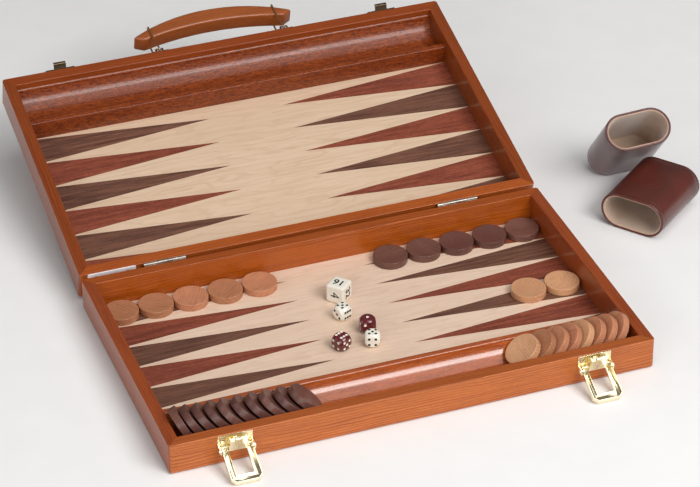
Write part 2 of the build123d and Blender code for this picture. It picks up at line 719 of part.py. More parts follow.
# ---------------------------------------------------------------- dice cups
def cup(name, place):
    """A flattened round cup: leather-covered shell, and a lining that stops at its lip."""
    with BuildPart() as shell:
        with BuildSketch(Plane.XY):
            SlotOverall(CUP_WIDTH, CUP_DEPTH)
        extrude(amount=CUP_LENGTH)
        with BuildSketch(Plane.XY.offset(CUP_FLOOR)):
            SlotOverall(CUP_WIDTH - 2 * CUP_WALL, CUP_DEPTH - 2 * CUP_WALL)
        extrude(amount=CUP_LENGTH, mode=Mode.SUBTRACT)
        fillet(shell.faces().sort_by(Axis.Z)[0].edges(), 1.2)
    save(shell, f"{name}_shell", place)
    with BuildPart() as lining:
        with BuildSketch(Plane.XY.offset(CUP_FLOOR)):
            SlotOverall(CUP_WIDTH - 2 * CUP_WALL, CUP_DEPTH - 2 * CUP_WALL)
        extrude(amount=CUP_LENGTH - CUP_FLOOR)
        inner = 2 * (CUP_WALL + CUP_LINING)
        with BuildSketch(Plane.XY.offset(CUP_FLOOR + CUP_LINING)):
            SlotOverall(CUP_WIDTH - inner, CUP_DEPTH - inner)
        extrude(amount=CUP_LENGTH, mode=Mode.SUBTRACT)
    save(lining, f"{name}_lining", place)


FRONT_CUP_TURN = radians(218.4)
front_cup = Plane(
    origin=(366.4, 124.5, CUP_DEPTH / 2),
    x_dir=(-sin(FRONT_CUP_TURN), cos(FRONT_CUP_TURN), 0),
    z_dir=(cos(FRONT_CUP_TURN), sin(FRONT_CUP_TURN), 0),
)
rear_cup = Plane(origin=(342.0, 188.9, 13.7), x_dir=(1.0, -0.04, 0.07), z_dir=(-0.08, -0.65, 0.75))
cup("front_cup", front_cup.location)
cup("rear_cup", rear_cup.location)
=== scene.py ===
import json
import math
import random

import bmesh
import bpy
from mathutils import Matrix, Vector

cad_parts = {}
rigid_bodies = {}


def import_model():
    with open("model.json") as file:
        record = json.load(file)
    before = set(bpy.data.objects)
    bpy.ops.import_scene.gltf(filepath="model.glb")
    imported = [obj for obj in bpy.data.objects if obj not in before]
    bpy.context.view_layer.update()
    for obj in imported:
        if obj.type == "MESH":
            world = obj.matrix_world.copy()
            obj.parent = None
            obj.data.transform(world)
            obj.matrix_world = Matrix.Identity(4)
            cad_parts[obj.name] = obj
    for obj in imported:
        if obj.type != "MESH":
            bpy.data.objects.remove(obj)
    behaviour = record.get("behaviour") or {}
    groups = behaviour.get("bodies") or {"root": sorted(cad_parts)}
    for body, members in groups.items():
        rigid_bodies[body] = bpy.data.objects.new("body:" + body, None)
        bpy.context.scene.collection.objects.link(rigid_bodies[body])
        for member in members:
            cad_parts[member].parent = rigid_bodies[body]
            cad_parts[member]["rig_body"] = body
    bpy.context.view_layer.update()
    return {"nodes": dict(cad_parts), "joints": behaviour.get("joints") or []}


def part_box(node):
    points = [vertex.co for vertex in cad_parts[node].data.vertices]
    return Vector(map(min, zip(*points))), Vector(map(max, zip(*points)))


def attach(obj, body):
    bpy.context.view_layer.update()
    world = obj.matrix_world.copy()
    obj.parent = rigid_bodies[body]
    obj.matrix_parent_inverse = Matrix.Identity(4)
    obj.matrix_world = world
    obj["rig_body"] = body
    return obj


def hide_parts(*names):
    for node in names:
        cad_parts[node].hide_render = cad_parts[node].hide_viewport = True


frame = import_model()
scene = bpy.context.scene
MM = 0.001
WELD = 2e-6

# ------------------------------------------------------------------ the two trays
# Each tray's own frame has its origin on the hinge axis, with +y away from the hinge and +z out of the open tray.
OPEN_TILT = math.radians(13.9)
joints = {j["name"]: j for j in frame["joints"]}
hinge_at = Vector(joints["case_hinge"]["pos_m"])
far_place = Matrix.Translation(hinge_at) @ Matrix.Rotation(OPEN_TILT, 4, "X")
near_place = Matrix.Translation(hinge_at) @ Matrix.Rotation(math.pi, 4, "Z")

# in a tray's frame (mm): the heights of its rim and its board, how far out its long wall stands, how thick a rail is
RIM, BOARD = -0.15, -27.95
WALL_OUT, RAIL = 275.8, 11.25
SLACK = 0.02  # between a trough and the rails that it fits in

# ------------------------------------------------------------------ camera and lights
cam_data = bpy.data.cameras.new("camera")
cam_data.lens = 159.7
cam_data.sensor_width = 36
cam_data.clip_end = 50
cam = bpy.data.objects.new("camera", cam_data)
cam.location = (-0.8117, -2.1943, 1.6523)
cam.rotation_euler = [math.radians(v) for v in (56.487, 0.193, -20.122)]
scene.collection.objects.link(cam)
scene.camera = cam


MIDDLE = Vector((0.0, 0.12, 0.03))


def softbox(name, direction, distance, width, height, power, colour):
    """A soft light in one direction from the middle of the set, turned to face it."""
    data = bpy.data.lights.new(name, "AREA")
    data.shape = "RECTANGLE"
    data.size = width
    data.size_y = height
    data.energy = power
    data.color = colour
    lamp = bpy.data.objects.new(name, data)
    lamp.location = MIDDLE + Vector(direction).normalized() * distance
    lamp.rotation_euler = (MIDDLE - lamp.location).to_track_quat("-Z", "Y").to_euler()
    scene.collection.objects.link(lamp)


softbox("overhead", (0.22, -0.34, 0.92), 3.2, 3.0, 2.9, 46, (1, 0.99, 0.975))
softbox("key_front", (0.30, -0.70, 0.65), 3.4, 2.0, 1.1, 66, (1, 0.985, 0.97))
softbox("fill_front_left", (-0.62, -0.75, 0.36), 3.4, 2.2, 1.4, 30, (1, 0.99, 0.98))
softbox("fill_left", (-0.97, 0.15, 0.4), 3.2, 1.8, 1.2, 10, (0.98, 0.99, 1))

world = bpy.data.worlds.new("studio")
scene.world = world
world.use_nodes = True
world.node_tree.nodes["Background"].inputs[0].default_value = (1, 1, 1, 1)
world.node_tree.nodes["Background"].inputs[1].default_value = 0.16
scene.view_settings.view_transform = "Standard"


# ------------------------------------------------------------------ materials
def srgb(r, g, b):
    """A colour given as 0 to 255 display values, made linear."""
    shares = [c / 255 for c in (r, g, b)]
    return (*[((v + 0.055) / 1.055) ** 2.4 if v > 0.04 else v / 12.92 for v in shares], 1.0)


class Shader:
    """A Principled material with short calls for building its node pattern."""

    def __init__(self, name, roughness, coat=0.0, coat_roughness=0.1, metallic=0.0, sheen=0.0, specular=0.5):
        self.mat = bpy.data.materials.new(name)
        self.mat.use_nodes = True
        self.tree = self.mat.node_tree
        self.bsdf = self.tree.nodes["Principled BSDF"]
        self.set(self.bsdf, {"Roughness": roughness, "Coat Weight": coat, "Coat Roughness": coat_roughness,
                             "Metallic": metallic, "Sheen Weight": sheen, "Specular IOR Level": specular})

    def set(self, node, values):
        for key, value in values.items():
            if isinstance(value, bpy.types.NodeSocket):
                self.tree.links.new(value, node.inputs[key])
            else:
                node.inputs[key].default_value = value

    def node(self, kind, values=None, **props):
        node = self.tree.nodes.new("ShaderNode" + kind)
        for key, value in props.items():
            setattr(node, key, value)
        self.set(node, values or {})
        return node

    def coords(self, stretch, place=None, shift=(0, 0, 0)):
        """Object coordinates turned into the piece's own frame; stretch is one pattern unit in mm each way."""
        source = self.node("TexCoord").outputs["Object"]
        if place is not None:
            turned = self.node("Mapping", {"Vector": source}, vector_type="TEXTURE")
            turned.inputs["Location"].default_value = place.to_translation()
            turned.inputs["Rotation"].default_value = place.to_euler()
            source = turned.outputs[0]
        scaled = self.node("Mapping", {"Vector": source}, vector_type="TEXTURE")
        scaled.inputs["Location"].default_value = shift
        scaled.inputs["Scale"].default_value = [s * MM for s in stretch]
        return scaled.outputs[0]

    def noise(self, vector, detail, rough, distort=0.0):
        return self.node("TexNoise", {"Vector": vector, "Scale": 1.0, "Detail": detail,
                                      "Roughness": rough, "Distortion": distort}).outputs["Fac"]

    def cells(self, vector):
        return self.node("TexVoronoi", {"Vector": vector, "Scale": 1.0}, feature="SMOOTH_F1").outputs["Distance"]

    def upward(self):
        """How far the surface faces up in the piece's rest place, from -1 to 1."""
        return self.node("SeparateXYZ", {0: self.node("TexCoord").outputs["Normal"]}).outputs[2]

    def math(self, operation, a, b=0.0):
        node = self.node("Math", operation=operation)
        for socket, value in zip(node.inputs, (a, b)):
            if isinstance(value, bpy.types.NodeSocket):
                self.tree.links.new(value, socket)
            else:
                socket.default_value = value
        return node.outputs[0]

    def ramp(self, value, stops):
        """A smooth grey ramp through (position, brightness) stops."""
        node = self.node("ValToRGB", {"Fac": value})
        elements = node.color_ramp.elements
        node.color_ramp.interpolation = "EASE"
        while len(elements) < len(stops):
            elements.new(0.5)
        for element, (at, grey) in zip(elements, stops):
            element.position = at
            element.color = (grey, grey, grey, 1)
        return node.outputs["Color"]

    def grey(self, value, low, high, a, b):
        """A value that goes from a to b as the input goes from low to high."""
        ends = {"Value": value, "From Min": low, "From Max": high, "To Min": a, "To Max": b}
        return self.node("MapRange", ends).outputs["Result"]

    def mix(self, factor, a, b):
        """The colour a, turned into b by the factor."""
        node = self.node("Mix", data_type="RGBA", blend_type="MIX")
        for index, value in ((0, factor), (6, a), (7, b)):
            if isinstance(value, bpy.types.NodeSocket):
                self.tree.links.new(value, node.inputs[index])
            else:
                node.inputs[index].default_value = value
        return node.outputs[2]

    def bump(self, height, distance_mm, strength):
        return self.node("Bump", {"Height": height, "Distance": distance_mm * MM, "Strength": strength}).outputs[0]

    def colour(self, value):
        self.set(self.bsdf, {"Base Color": value})

    def finish(self, normal=None, roughness=None):
        if normal is not None:
            self.set(self.bsdf, {"Normal": normal})
        if roughness is not None:
            self.set(self.bsdf, {"Roughness": roughness})
        return self.mat


def wood(name, light, dark, pore, along, place, line_mm, coat, line_depth=0.5, pore_depth=0.5, shift=(0, 0, 0),
         roughness=0.3, figure=0.25, fleck=0.0, wander=2.4, wiggle=0.5, bump_mm=0.05, painted_top_shade=0.0, streak=0.35,
         outside=None):
    """Sawn and varnished wood. along is the axis that the grain runs on, in the piece's own frame, and line_mm is
    about the spacing of the growth lines. The top amount darkens what faces up: painted shade, for tops that get
    less light than the fronts. outside is the pair of colours that the face underneath is stained with."""
    s = Shader(name, roughness=roughness, coat=coat, coat_roughness=0.13, specular=0.3)

    def stretched(length, across, offset=0.0):
        sizes = [across, across, across]
        sizes[along] = length
        return s.coords(sizes, place, [v + offset for v in shift])

    across = s.node("SeparateXYZ", {0: stretched(1000.0, line_mm)}).outputs
    flat = s.math("ADD", across[1 if along == 0 else 0], across[2])
    warp = s.noise(stretched(230.0, 42.0), 2.0, 0.5)
    wavy = s.noise(stretched(46.0, 13.0, 0.031), 2.0, 0.5)
    bend = s.math("ADD", s.math("MULTIPLY", warp, wander * 4.0), s.math("MULTIPLY", wavy, wiggle * 4.0))
    phase = s.math("ADD", s.math("MULTIPLY", flat, 0.9), bend)
    late = s.ramp(s.math("FRACT", phase), [(0.0, 0.0), (0.45, 0.15), (0.8, 1.0), (1.0, 0.0)])
    strength = s.grey(s.noise(stretched(90.0, 7.0, 0.017), 2.0, 0.5), 0.3, 0.7, 0.3, 1.0)
    fibre = s.noise(stretched(16.0, 0.5), 4.0, 0.65)
    pores = s.noise(stretched(5.0, 0.3, 0.053), 2.0, 0.7)
    tone = s.noise(stretched(300.0, 55.0, 0.09), 2.0, 0.5)
    streaks = s.noise(stretched(60.0, 3.4, 0.041), 3.0, 0.6)

    base = s.mix(s.math("MULTIPLY", s.math("MULTIPLY", late, strength), line_depth), light, dark)
    base = s.mix(s.grey(fibre, 0.35, 0.72, 0.0, figure), base, dark)
    base = s.mix(s.grey(streaks, 0.42, 0.66, 0.0, streak), base, dark)
    base = s.mix(s.grey(tone, 0.3, 0.7, 0.0, 0.35), base, s.mix(0.55, light, dark))
    open_pore = s.grey(pores, 0.58, 0.70, 0.0, pore_depth)
    base = s.mix(open_pore, base, pore)
    height = s.math("SUBTRACT", s.math("MULTIPLY", fibre, 0.5), s.math("MULTIPLY", open_pore, 0.9))
    if fleck:
        rays = s.noise(stretched(4.6, 1.15, 0.02), 2.0, 0.5, 1.2)
        base = s.mix(s.grey(rays, 0.44, 0.6, 0.0, fleck), base, dark)
        base = s.mix(s.grey(rays, 0.44, 0.3, 0.0, fleck * 0.6), base, light)
        height = s.math("ADD", height, s.math("MULTIPLY", rays, 1.4 * fleck))
    # painted shade: faces that look up are darkened towards the dark wood, standing in for the light that the tops
    # miss
    if painted_top_shade:
        base = s.mix(s.grey(s.upward(), 0.75, 0.95, 0.0, painted_top_shade), base, dark)
    if outside:
        stained = s.mix(s.grey(streaks, 0.3, 0.7, 0.0, 0.8), *outside)
        stained = s.mix(s.grey(fibre, 0.35, 0.72, 0.0, 0.5), stained, outside[1])
        base = s.mix(s.grey(s.upward(), -0.5, -0.4, 1.0, 0.0), base, stained)
    s.colour(base)
    return s.finish(s.bump(height, bump_mm, 0.6), s.grey(fibre, 0.3, 0.75, roughness - 0.05, roughness + 0.1))


CASE_LIGHT, CASE_DARK, CASE_PORE = srgb(208, 118, 54), srgb(128, 52, 14), srgb(84, 30, 6)


def case_wood(name, along, place, shift=(0, 0, 0), tone=(1, 1, 1), painted_top_shade=0.2, line_depth=0.7):
    """The case's own wood; tone darkens its red, green and blue for a rail that stands in more shade, as painted
    shade on a copy of the one wood.
    """
    light = (*[c * t for c, t in zip(CASE_LIGHT, tone)], 1)
    dark = (*[c * t for c, t in zip(CASE_DARK, tone)], 1)
    return wood(name, light, dark, CASE_PORE, along, place, 2.6, 0.3, line_depth=line_depth, shift=shift, fleck=0.1,
                wander=1.6, wiggle=0.35, painted_top_shade=painted_top_shade, streak=0.3)


def trough_wood(name, shift, light, dark, fleck, roughness, coat, bump_mm=0.05):
    return wood(name, light, dark, srgb(84, 30, 10), 0, None, 5.0, coat, shift=shift, roughness=roughness,
                fleck=fleck, figure=0.3, bump_mm=bump_mm)


def maple(name, place, shift, light, dark):
    return wood(name, light, dark, srgb(190, 152, 124), 0, place, 9.0, 0.2, pore_depth=0.25, shift=shift,
                roughness=0.36, figure=0.28, wander=2.2, wiggle=0.8, bump_mm=0.02,
                outside=(srgb(178, 92, 42), srgb(118, 50, 18)))


def walnut(name, place, shift):
    return wood(name, srgb(140, 96, 76), srgb(66, 38, 32), srgb(34, 18, 16), 0, place, 4.6, 0.2, line_depth=0.35,
                pore_depth=0.85, shift=shift, roughness=0.36, figure=0.7, wander=1.2, bump_mm=0.03, streak=0.75)


def mahogany(name, place, shift):
    return wood(name, srgb(172, 92, 68), srgb(80, 32, 22), srgb(48, 18, 12), 0, place, 5.2, 0.2, line_depth=0.3,
                pore_depth=0.85, shift=shift, roughness=0.36, figure=0.6, wander=1.2, bump_mm=0.03, streak=0.6,
                fleck=0.3)


RING_MM = 2.3


def turned_wood(name, light, dark, pore, seed, roughness=0.38, coat=0.15):
    """A turned disc: growth rings cross its face, and fine pores run through it."""
    s = Shader(name, roughness=roughness, coat=coat, coat_roughness=0.2, specular=0.35)
    shift = (seed * 0.137, seed * 0.071, seed * 0.053)

    def stretched(*sizes):
        return s.coords(sizes, None, shift)

    warp = s.noise(stretched(60, 13, 40), 2.0, 0.5)
    wide = s.noise(stretched(150, 26, 60), 1.0, 0.5)
    rows = s.node("SeparateXYZ", {0: stretched(1000, RING_MM, 3 * RING_MM)}).outputs
    bend = s.math("ADD", s.math("MULTIPLY", wide, 9.0), s.math("MULTIPLY", warp, 1.4))
    phase = s.math("ADD", s.math("ADD", rows[1], rows[2]), bend)
    late = s.ramp(s.math("FRACT", phase), [(0.0, 0.0), (0.5, 0.15), (0.85, 1.0), (1.0, 0.1)])
    fibre = s.noise(stretched(9, 0.5, 0.5), 4.0, 0.65)
    pores = s.noise(stretched(3.2, 0.3, 0.3), 2.0, 0.6)
    blotch = s.noise(stretched(26, 18, 18), 2.0, 0.5)
    uneven = s.grey(s.noise(stretched(34, 9, 20), 2.0, 0.5), 0.35, 0.65, 0.15, 0.8)
    base = s.mix(s.math("MULTIPLY", late, uneven), light, dark)
    base = s.mix(s.grey(fibre, 0.35, 0.7, 0, 0.55), base, dark)
    base = s.mix(s.grey(blotch, 0.35, 0.7, 0, 0.4), base, s.mix(0.6, light, dark))
    open_pore = s.grey(pores, 0.6, 0.68, 0, 0.6)
    s.colour(s.mix(open_pore, base, pore))
    radius = s.node("VectorMath", {0: s.coords((1, 1, 1000))}, operation="LENGTH").outputs["Value"]
    tool_marks = s.math("SINE", s.math("MULTIPLY", radius, 9.0))
    height = s.math("ADD", s.math("MULTIPLY", fibre, 0.6), s.math("MULTIPLY", tool_marks, 0.06))
    height = s.math("SUBTRACT", height, open_pore)
    return s.finish(s.bump(height, 0.04, 0.6), s.grey(fibre, 0.3, 0.7, roughness - 0.05, roughness + 0.12))


def metal(name, colour, roughness, tarnish):
    """Plated sheet metal with faint polishing marks and duller patches."""
    s = Shader(name, roughness=roughness, metallic=1.0)
    patches = s.noise(s.coords((9, 9, 9)), 4.0, 0.6)
    fine = s.noise(s.coords((2.5, 0.4, 0.4)), 3.0, 0.6)
    s.colour(s.mix(s.grey(patches, 0.45, 0.8, 0, 0.55), colour, tarnish))
    worn = s.grey(patches, 0.35, 0.75, roughness * 0.7, roughness * 1.6)
    return s.finish(s.bump(fine, 0.002, 0.35), s.math("ADD", worn, s.math("MULTIPLY", fine, 0.07)))


def plastic(name, colour, deep, roughness=0.18, coat=0.3):
    """Cast and tumbled plastic: clouded colour, faint scuffs, softly polished."""
    s = Shader(name, roughness=roughness, coat=coat, coat_roughness=0.08)
    s.set(s.bsdf, {"Subsurface Weight": 0.08, "Subsurface Scale": 0.002, "Subsurface Radius": (1.0, 0.8, 0.6)})
    cloud = s.noise(s.coords((6, 6, 6)), 3.0, 0.55)
    scuff = s.noise(s.coords((1.2, 0.15, 0.6)), 3.0, 0.7)
    s.colour(s.mix(s.grey(cloud, 0.3, 0.75, 0, 0.6), colour, deep))
    return s.finish(s.bump(scuff, 0.01, 0.3), s.grey(scuff, 0.4, 0.75, roughness, roughness + 0.14))


def leather(name, colour, deep, roughness=0.38, sheen=0.0, coat=0.1):
    """Smooth bonded leather with a fine pebble grain and rubbed high spots."""
    s = Shader(name, roughness=roughness, coat=coat, coat_roughness=0.3, sheen=sheen)
    cells = s.cells(s.coords((0.75, 0.75, 0.75)))
    crease = s.noise(s.coords((2.4, 2.4, 6)), 5.0, 0.6)
    rub = s.noise(s.coords((22, 22, 30)), 3.0, 0.55)
    base = s.mix(s.grey(rub, 0.35, 0.75, 0, 0.75), colour, deep)
    base = s.mix(s.grey(cells, 0.25, 0.7, 0.0, 0.35), base, deep)
    s.colour(base)
    height = s.math("ADD", s.math("MULTIPLY", cells, -0.5), s.math("MULTIPLY", crease, 0.5))
    return s.finish(s.bump(height, 0.12, 0.55), s.grey(rub, 0.3, 0.8, roughness - 0.08, roughness + 0.12))


def fabric(name, colour, deep):
    """Short napped lining cloth."""
    s = Shader(name, roughness=0.85, sheen=0.5)
    nap = s.noise(s.coords((0.5, 0.5, 0.5)), 4.0, 0.7)
    blotch = s.noise(s.coords((14, 14, 18)), 3.0, 0.5)
    base = s.mix(s.grey(blotch, 0.3, 0.75, 0, 0.6), colour, deep)
    s.colour(s.mix(s.grey(nap, 0.35, 0.7, 0, 0.35), base, deep))
    return s.finish(s.bump(nap, 0.18, 0.6))


BRASS = metal("polished_brass", srgb(255, 244, 214), 0.1, srgb(244, 216, 156))
BRASS_PLATE = metal("satin_brass", srgb(252, 240, 204), 0.26, srgb(240, 216, 160))
# a much darker copy of the brass, used on the catches, the far screws and the handle brackets
BRASS_DARK = metal("dark_brass", srgb(112, 94, 72), 0.24, srgb(54, 44, 36))
WIRE = metal("copper_wire", srgb(206, 158, 112), 0.3, srgb(132, 92, 60))
HINGE = metal("hinge_strip", srgb(176, 168, 158), 0.34, srgb(88, 78, 68))
# painted highlight: the metal seam plate is painted near-white, so that it looks bright though it sits shaded in the
# gap
SEAM_PAINTED_BRIGHT = plastic("seam_plate", srgb(252, 250, 254), srgb(238, 234, 240), 0.4)
IVORY = plastic("ivory", srgb(240, 236, 224), srgb(228, 220, 202))
IVORY_BLACK = plastic("black_ink", srgb(12, 11, 11), srgb(7, 7, 7), 0.55, 0.0)
RED = plastic("die_red", srgb(104, 34, 38), srgb(78, 20, 26), 0.14)
RED_WHITE = plastic("white_ink", srgb(236, 228, 216), srgb(220, 208, 196), 0.3)
LEATHER_FRONT = leather("leather_front", srgb(96, 44, 34), srgb(66, 27, 22), 0.32, 0.0, 0.25)
LEATHER_REAR = leather("leather_rear", srgb(92, 46, 42), srgb(66, 30, 28), 0.36, 0.2, 0.25)
LINING = fabric("lining", srgb(202, 180, 160), srgb(170, 142, 120))
LIP = leather("lip", srgb(206, 172, 150), srgb(176, 134, 112), 0.45)


# ------------------------------------------------------------------ CAD nodes that are shown as they are
def paint(node, material):
    mesh = frame["nodes"][node].data
    mesh.materials.clear()
    mesh.materials.append(material)


# painted shade: the rails are darkened copies of the one case wood, each darkened by the shade it stands in, and
# every rail also gets painted shade on its tops
near_side = case_wood("case_wood_near_side", 1, near_place, (0.1, 0.2, 0.4), (0.66, 0.5, 0.5))
far_side = case_wood("case_wood_far_side", 1, far_place, (0.3, 0.6, 0.1), (0.54, 0.42, 0.36))
own_material = {
    "near_front_rail": case_wood("case_wood_near_long", 0, near_place, painted_top_shade=0.4, line_depth=1.0),
    "near_hinge_rail": case_wood("case_wood_near_hinge", 0, near_place, (0.2, 0.3, 0.1), (0.8, 0.64, 0.3)),
    "near_left_rail": near_side,
    "near_right_rail": near_side,
    "far_outer_rail": case_wood("case_wood_far_long", 0, far_place, (0.5, 0.1, 0.2), (0.64, 0.48, 0.4)),
    "far_hinge_rail": case_wood("case_wood_far_hinge", 0, far_place, (0.7, 0.4, 0.3), (0.8, 0.66, 0.5), 0.1),
    "far_left_rail": far_side,
    "far_right_rail": far_side,
    "near_board": maple("maple_near", near_place, (0, 0, 0), srgb(236, 210, 189), srgb(212, 178, 150)),
    # painted shade: the far board's maple is a darker copy of the near board's, standing in for the lesser light on
    # the far half
    "far_board": maple("maple_far", far_place, (0.3, 0.2, 0), srgb(224, 198, 172), srgb(196, 162, 132)),
    "near_dark_points": walnut("walnut_near", near_place, (0, 0, 0)),
    "far_dark_points": walnut("walnut_far", far_place, (0.2, 0.5, 0)),
    "near_red_points": mahogany("mahogany_near", near_place, (0, 0, 0)),
    "far_red_points": mahogany("mahogany_far", far_place, (0.2, 0.5, 0)),
    "latch_rivets": BRASS_PLATE,
    "near_screws": BRASS,
    "far_screws": BRASS_DARK,
    "handle_wires": WIRE,
    "hinge_pins": HINGE,
}
for node, material in own_material.items():
    paint(node, material)


# ------------------------------------------------------------------ mesh helpers
def placed(name, mesh, materials, body, nodes, place=None, smooth_deg=35, ease_mm=None):
    """Turns a mesh into a piece that rides on a body and stands for CAD nodes."""
    kept = [face.material_index for face in mesh.polygons]
    mesh.materials.clear()
    for material in materials:
        mesh.materials.append(material)
    mesh.polygons.foreach_set("material_index", [min(k, len(materials) - 1) for k in kept])
    mesh.shade_smooth()
    obj = bpy.data.objects.new(name, mesh)
    scene.collection.objects.link(obj)
    if place is not None:
        obj.matrix_world = place
    if ease_mm:
        bevel = obj.modifiers.new("softened", "BEVEL")
        bevel.width = ease_mm * MM
        bevel.segments = 2
        bevel.limit_method = "ANGLE"
        bevel.angle_limit = math.radians(38)
        bevel.harden_normals = False
    mesh.set_sharp_from_angle(angle=math.radians(smooth_deg))
    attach(obj, body)
    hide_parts(*nodes)


def finished(name, bm, materials, body, nodes, place, smooth_deg):
    """Turns a closed bmesh, whose faces may be wound either way, into a piece."""
    bmesh.ops.recalc_face_normals(bm, faces=bm.faces)
    mesh = bpy.data.meshes.new(name)
    bm.to_mesh(mesh)
    bm.free()
    placed(name, mesh, materials, body, nodes, place, smooth_deg)


def softened(node, material, ease_mm):
    """The CAD node's own shape with its sharp edges eased."""
    mesh = frame["nodes"][node].data.copy()
    bm = bmesh.new()
    bm.from_mesh(mesh)
    bmesh.ops.remove_doubles(bm, verts=bm.verts, dist=WELD)
    bmesh.ops.dissolve_limit(bm, angle_limit=math.radians(1), verts=bm.verts, edges=bm.edges)
    bm.to_mesh(mesh)
    bm.free()
    placed(node + "_detail", mesh, [material], frame["nodes"][node]["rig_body"], [node], ease_mm=ease_mm)


TURNED_SEGMENTS = 96


def lathe(profile):
    """A closed solid of revolution about z from (radius, height) pairs that start and end on the axis."""
    bm = bmesh.new()
    angles = [2 * math.pi * k / TURNED_SEGMENTS for k in range(TURNED_SEGMENTS)]
    rings = []
    for r, z in profile:
        if r < 1e-9:
            rings.append([bm.verts.new((0, 0, z))])
        else:
            rings.append([bm.verts.new((r * math.cos(a), r * math.sin(a), z)) for a in angles])
    for a, b in zip(rings, rings[1:]):
        for k in range(TURNED_SEGMENTS):
            n = (k + 1) % TURNED_SEGMENTS
            if len(a) == 1:
                bm.faces.new((a[0], b[k], b[n]))
            elif len(b) == 1:
                bm.faces.new((a[k], a[n], b[0]))
            else:
                bm.faces.new((a[k], a[n], b[n], b[k]))
    return bm


def span(points):
    """The lowest and highest corner of a cloud of points."""
    lows = Vector([min(p[i] for p in points) for i in range(3)])
    highs = Vector([max(p[i] for p in points) for i in range(3)])
    return lows, highs


def middle_of(node):
    lo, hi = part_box(node)
    return (lo + hi) / 2


# ------------------------------------------------------------------ checkers
CHECKER_R, CHECKER_HALF = 16.7 * MM, 3.5 * MM
CHECKER_EASE = 0.6 * MM
DISH_DEPTH, DISH_R = 0.8 * MM, CHECKER_R - 1.2 * MM


def checker_mesh():
    """A turned disc with dished faces and eased edges."""
    half = [(DISH_R * k / 12, CHECKER_HALF - DISH_DEPTH * (1 - (k / 12) ** 2)) for k in range(13)]
    for k in range(7):
        a = math.radians(90 - 15 * k)
        half.append((CHECKER_R - CHECKER_EASE * (1 - math.cos(a)), CHECKER_HALF - CHECKER_EASE * (1 - math.sin(a))))
    return lathe(half + [(x, -z) for x, z in reversed(half)])


light_woods = [
    turned_wood("beech_a", srgb(216, 164, 124), srgb(166, 108, 72), srgb(118, 70, 46), 1),
    turned_wood("beech_b", srgb(210, 148, 112), srgb(152, 88, 60), srgb(110, 62, 40), 2),
    turned_wood("beech_c", srgb(224, 174, 132), srgb(176, 116, 80), srgb(124, 76, 50), 3),
    turned_wood("beech_dark", srgb(192, 134, 98), srgb(136, 82, 54), srgb(94, 54, 36), 4),
]
dark_woods = [
    turned_wood("stained_a", srgb(124, 82, 70), srgb(58, 34, 30), srgb(32, 18, 16), 5, 0.34, 0.2),
    turned_wood("stained_b", srgb(134, 90, 78), srgb(64, 38, 34), srgb(34, 20, 18), 6, 0.34, 0.2),
    turned_wood("stained_c", srgb(116, 74, 66), srgb(54, 32, 28), srgb(30, 16, 14), 7, 0.34, 0.2),
]
chance = random.Random(11)
UP = Vector((0, 0, 1))


def checker(name, node, body, centre, up, woods):
    """One checker at a centre, its face along up; chance picks its wood and turns its grain."""
    material = woods[chance.randrange(len(woods))]
    tilt = UP.rotation_difference(up).to_matrix().to_4x4()
    place = Matrix.Translation(centre) @ tilt @ Matrix.Rotation(chance.uniform(0, 6.28), 4, "Z")
    finished(name, checker_mesh(), [material], body, [node], place, smooth_deg=60)


for colour, count, woods in (("light", 7, light_woods), ("dark", 5, dark_woods)):
    for number in range(1, count + 1):
        node = f"{colour}_checker_{number}"
        checker(node + "_turned", node, node + "_body", middle_of(node), UP, woods)


def islands(node):
    """The separate solids of a CAD node, each as its vertex positions and the normal of its largest face."""
    bm = bmesh.new()
    bm.from_mesh(frame["nodes"][node].data)
    bmesh.ops.remove_doubles(bm, verts=bm.verts, dist=WELD)
    seen, found = set(), []
    for start in bm.verts:
        if start in seen:
            continue
        stack, part = [start], []
        seen.add(start)
        while stack:
            v = stack.pop()
            part.append(v)
            for e in v.link_edges:
                w = e.other_vert(v)
                if w not in seen:
                    seen.add(w)
                    stack.append(w)
        normal = max((f for v in part for f in v.link_faces), key=lambda f: f.calc_area()).normal.copy()
        found.append(([v.co.copy() for v in part], normal))
    bm.free()
    return found


for colour, woods, body in (("dark", dark_woods, "dark_store"), ("light", light_woods[1:], "light_store")):
    node = f"stored_{colour}_checkers"
    for number, (points, normal) in enumerate(islands(node), 1):
        lo, hi = span(points)
        up = (-normal if normal.z < 0 else normal).normalized()
        checker(f"stored_{colour}_{number}", node, body, (lo + hi) / 2, up, woods)


# ------------------------------------------------------------------ dice and cube
def rounded_cube(side_mm, edge_mm):
    """A cube with round edges of edge_mm."""
    bm = bmesh.new()
    bmesh.ops.create_cube(bm, size=side_mm * MM)
    bmesh.ops.bevel(bm, geom=bm.edges[:], offset=edge_mm * MM, segments=7, profile=0.5, affect="EDGES")
    return bm


BALL_CUTS = 40


def ball_cube(side_mm, ball_mm, ease_mm):
    """A cube turned down to a ball: every face is a flat disc that runs into the ball with a small easing."""
    bm = bmesh.new()
    half, ball, ease = side_mm * MM / 2, ball_mm * MM, ease_mm * MM
    bmesh.ops.create_cube(bm, size=2 * half)
    bmesh.ops.subdivide_edges(bm, edges=bm.edges[:], cuts=BALL_CUTS, use_grid_fill=True)
    for v in bm.verts:
        direction = Vector([math.tan(c / half * math.pi / 4) for c in v.co]).normalized()
        flat = half / max(abs(c) for c in direction)
        blend = max(ease - abs(flat - ball), 0.0) / ease
        v.co = direction * (min(flat, ball) - ease * blend * blend / 4)
    return bm


